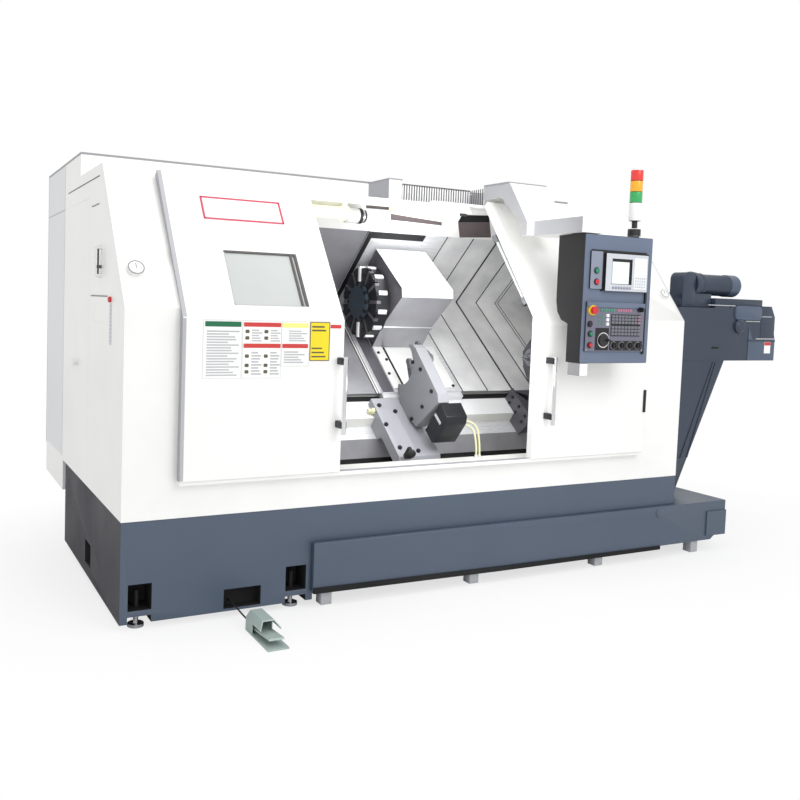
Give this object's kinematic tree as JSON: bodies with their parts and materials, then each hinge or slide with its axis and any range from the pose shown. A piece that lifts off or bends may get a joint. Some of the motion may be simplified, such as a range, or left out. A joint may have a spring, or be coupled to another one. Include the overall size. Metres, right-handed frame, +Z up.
{
  "type": "cnc turning lathe",
  "caption": "Slant-bed turning lathe in a full guard with sliding doors, turret, steady rest, tailstock, hanging control pendant, coolant tank and rising chip conveyor",
  "frame": {"origin": "On the floor, under the middle of the whole product's bounding box", "axes": "+X along the spindle from the headstock to the tailstock, +Y from the operator's side to the rear, +Z up"},
  "size_m": [4.594, 2.678, 2.284],
  "materials": {
    "white_sheet": "satin paint",
    "base_paint": "textured paint",
    "conveyor_paint": "satin paint",
    "pendant_paint": "satin paint",
    "panel_grey": "matt",
    "casting": "machined and painted",
    "machined": "ground",
    "cover_steel": "ground sheet",
    "chromed": "polished",
    "black": "matt",
    "pane": "clear",
    "red": "gloss",
    "green": "gloss",
    "lamp_stack": "translucent",
    "foot_paint": "hammered",
    "hose": "matt",
    "cable": "matt",
    "lamp": "matt"
  },
  "bodies": {
    "machine_frame": {"base_plinth": "base_paint", "levelling_feet": "machined", "bed_casting": "casting", "coolant_tank": "base_paint", "front_guard": "white_sheet", "left_end_wall": "white_sheet", "right_end_wall": "white_sheet", "top_guard": "white_sheet", "electrical_cabinet": "white_sheet", "end_covers": "cover_steel", "headstock": "casting", "steady_carrier": "white_sheet", "steady_body": "casting", "steady_cylinder": "black", "steady_hoses": "hose", "work_lamps": "lamp", "cable_box": "white_sheet", "foot_switch": "foot_paint", "foot_cable": "cable", "conveyor_trough": "conveyor_paint", "conveyor_head": "conveyor_paint", "conveyor_motor": "conveyor_paint"},
    "cabinet_door": {"cabinet_door": "white_sheet"},
    "left_door": {"left_door": "white_sheet", "window_pane": "pane", "left_handle": "white_sheet"},
    "right_door": {"right_door": "white_sheet", "right_handle": "white_sheet"},
    "pendant_carriage": {"pendant_hood": "white_sheet", "energy_chain": "black"},
    "pendant": {"pendant_housing": "pendant_paint", "control_panel": "panel_grey", "signal_tower": "lamp_stack"},
    "emergency_stop": {"emergency_stop": "red"},
    "start_button": {"start_button": "green"},
    "stop_button": {"stop_button": "red"},
    "key_switch": {"key_switch": "black"},
    "override_knob_1": {"override_knob_1": "black"},
    "override_knob_2": {"override_knob_2": "black"},
    "override_knob_3": {"override_knob_3": "black"},
    "override_knob_4": {"override_knob_4": "black"},
    "handwheel": {"handwheel": "machined"},
    "spindle": {"spindle": "machined", "chuck": "machined"},
    "jaw_1": {"jaw_1": "machined"},
    "jaw_2": {"jaw_2": "machined"},
    "jaw_3": {"jaw_3": "machined"},
    "carriage": {"carriage": "cover_steel"},
    "cross_slide": {"cross_slide": "cover_steel"},
    "turret_disc": {"turret_disc": "machined"},
    "left_cover": {"left_cover": "cover_steel"},
    "right_cover_1": {"right_cover_1": "cover_steel"},
    "right_cover_2": {"right_cover_2": "cover_steel"},
    "right_cover_3": {"right_cover_3": "cover_steel"},
    "tailstock": {"tailstock": "casting"},
    "quill": {"quill": "machined"},
    "steady_arm_upper": {"steady_arm_upper": "casting"},
    "steady_arm_lower": {"steady_arm_lower": "casting"},
    "foot_pedal": {"foot_pedal": "foot_paint"},
    "conveyor_drum": {"conveyor_drum": "machined"}
  },
  "joints": [
    {"name": "left_door_slide", "type": "slide", "parent": "machine_frame", "child": "left_door", "axis": [1, 0, 0], "range_m": [0, 0.594]},
    {"name": "right_door_slide", "type": "slide", "parent": "machine_frame", "child": "right_door", "axis": [-1, 0, 0], "range_m": [0, 0.594]},
    {"name": "cabinet_door_hinge", "type": "hinge", "parent": "machine_frame", "child": "cabinet_door", "pos_m": [0.029, 1.317, 1.3], "axis": [0, 0, 1], "range_deg": [0, 110]},
    {"name": "pendant_carriage_slide", "type": "slide", "parent": "machine_frame", "child": "pendant_carriage", "axis": [-1, 0, 0], "range_m": [0, 0.36], "deforming": ["energy_chain"]},
    {"name": "pendant_swivel", "type": "hinge", "parent": "pendant_carriage", "child": "pendant", "pos_m": [0.137, -1.079, 1.912], "axis": [0, 0, 1], "range_deg": [-60, 0]},
    {"name": "emergency_stop_press", "type": "slide", "parent": "pendant", "child": "emergency_stop", "axis": [0, 1, 0], "range_m": [0, 0.004], "stiffness_N_per_m": 600},
    {"name": "start_button_press", "type": "slide", "parent": "pendant", "child": "start_button", "axis": [0, 1, 0], "range_m": [0, 0.004], "stiffness_N_per_m": 600},
    {"name": "stop_button_press", "type": "slide", "parent": "pendant", "child": "stop_button", "axis": [0, 1, 0], "range_m": [0, 0.004], "stiffness_N_per_m": 600},
    {"name": "key_turn", "type": "hinge", "parent": "pendant", "child": "key_switch", "pos_m": [0.482, -1.196, 1.518], "axis": [0, 1, 0], "range_deg": [0, 90]},
    {"name": "override_knob_1_turn", "type": "hinge", "parent": "pendant", "child": "override_knob_1", "pos_m": [0.309, -1.196, 1.322], "axis": [0, 1, 0], "range_deg": [-120, 120]},
    {"name": "override_knob_2_turn", "type": "hinge", "parent": "pendant", "child": "override_knob_2", "pos_m": [0.3677, -1.196, 1.322], "axis": [0, 1, 0], "range_deg": [-120, 120]},
    {"name": "override_knob_3_turn", "type": "hinge", "parent": "pendant", "child": "override_knob_3", "pos_m": [0.4264, -1.196, 1.322], "axis": [0, 1, 0], "range_deg": [-120, 120]},
    {"name": "override_knob_4_turn", "type": "hinge", "parent": "pendant", "child": "override_knob_4", "pos_m": [0.4851, -1.196, 1.322], "axis": [0, 1, 0], "range_deg": [-120, 120]},
    {"name": "handwheel_turn", "type": "hinge", "parent": "pendant", "child": "handwheel", "pos_m": [0.229, -1.196, 1.35], "axis": [0, 1, 0], "continuous": true},
    {"name": "spindle_spin", "type": "hinge", "parent": "machine_frame", "child": "spindle", "pos_m": [-1.453, -0.44209, 1.20007], "axis": [1, 0, 0], "continuous": true},
    {"name": "jaw_1_slide", "type": "slide", "parent": "spindle", "child": "jaw_1", "axis": [0, 0, 1], "range_m": [0, 0.012]},
    {"name": "jaw_2_slide", "type": "slide", "parent": "spindle", "child": "jaw_2", "axis": [0, -0.866, -0.5], "range_m": [0, 0.012]},
    {"name": "jaw_3_slide", "type": "slide", "parent": "spindle", "child": "jaw_3", "axis": [0, 0.866, -0.5], "range_m": [0, 0.012]},
    {"name": "carriage_slide", "type": "slide", "parent": "machine_frame", "child": "carriage", "axis": [1, 0, 0], "range_m": [-0.35, 0.55]},
    {"name": "cross_slide_feed", "type": "slide", "parent": "carriage", "child": "cross_slide", "axis": [0, 0.766, 0.6428], "range_m": [-0.18, 0]},
    {"name": "turret_index", "type": "hinge", "parent": "cross_slide", "child": "turret_disc", "pos_m": [-0.599, -0.06826, 1.51375], "axis": [1, 0, 0], "continuous": true},
    {"name": "left_cover_slide", "type": "slide", "parent": "machine_frame", "child": "left_cover", "axis": [1, 0, 0], "range_m": [-0.175, 0.275]},
    {"name": "right_cover_1_slide", "type": "slide", "parent": "machine_frame", "child": "right_cover_1", "axis": [1, 0, 0], "range_m": [-0.2625, 0.4125]},
    {"name": "right_cover_2_slide", "type": "slide", "parent": "machine_frame", "child": "right_cover_2", "axis": [1, 0, 0], "range_m": [-0.175, 0.275]},
    {"name": "right_cover_3_slide", "type": "slide", "parent": "machine_frame", "child": "right_cover_3", "axis": [1, 0, 0], "range_m": [-0.0875, 0.1375]},
    {"name": "tailstock_slide", "type": "slide", "parent": "machine_frame", "child": "tailstock", "axis": [1, 0, 0], "range_m": [-0.5, 0.25]},
    {"name": "quill_slide", "type": "slide", "parent": "tailstock", "child": "quill", "axis": [-1, 0, 0], "range_m": [0, 0.12]},
    {"name": "steady_arm_upper_swing", "type": "hinge", "parent": "machine_frame", "child": "steady_arm_upper", "pos_m": [-0.471, -0.58435, 1.20471], "axis": [1, 0, 0], "range_deg": [0, 12]},
    {"name": "steady_arm_lower_swing", "type": "hinge", "parent": "machine_frame", "child": "steady_arm_lower", "pos_m": [-0.471, -0.43201, 1.02315], "axis": [1, 0, 0], "range_deg": [-12, 0]},
    {"name": "foot_pedal_press", "type": "hinge", "parent": "machine_frame", "child": "foot_pedal", "pos_m": [-1.673, -1.104, 0.024], "axis": [1, 0, 0], "range_deg": [0, 7], "stiffness_Nm_per_rad": 20, "springref_deg": -11.46},
    {"name": "conveyor_drum_spin", "type": "hinge", "parent": "machine_frame", "child": "conveyor_drum", "pos_m": [1.927, -0.529, 1.432], "axis": [0, 1, 0], "continuous": true}
  ],
  "couplings": [
    {"joint": "left_cover_slide", "follows": "carriage_slide", "ratio": 0.5},
    {"joint": "right_cover_1_slide", "follows": "carriage_slide", "ratio": 0.75},
    {"joint": "right_cover_2_slide", "follows": "carriage_slide", "ratio": 0.5},
    {"joint": "right_cover_3_slide", "follows": "carriage_slide", "ratio": 0.25},
    {"joint": "jaw_2_slide", "follows": "jaw_1_slide", "ratio": 1},
    {"joint": "jaw_3_slide", "follows": "jaw_1_slide", "ratio": 1},
    {"joint": "steady_arm_lower_swing", "follows": "steady_arm_upper_swing", "ratio": -1}
  ]
}
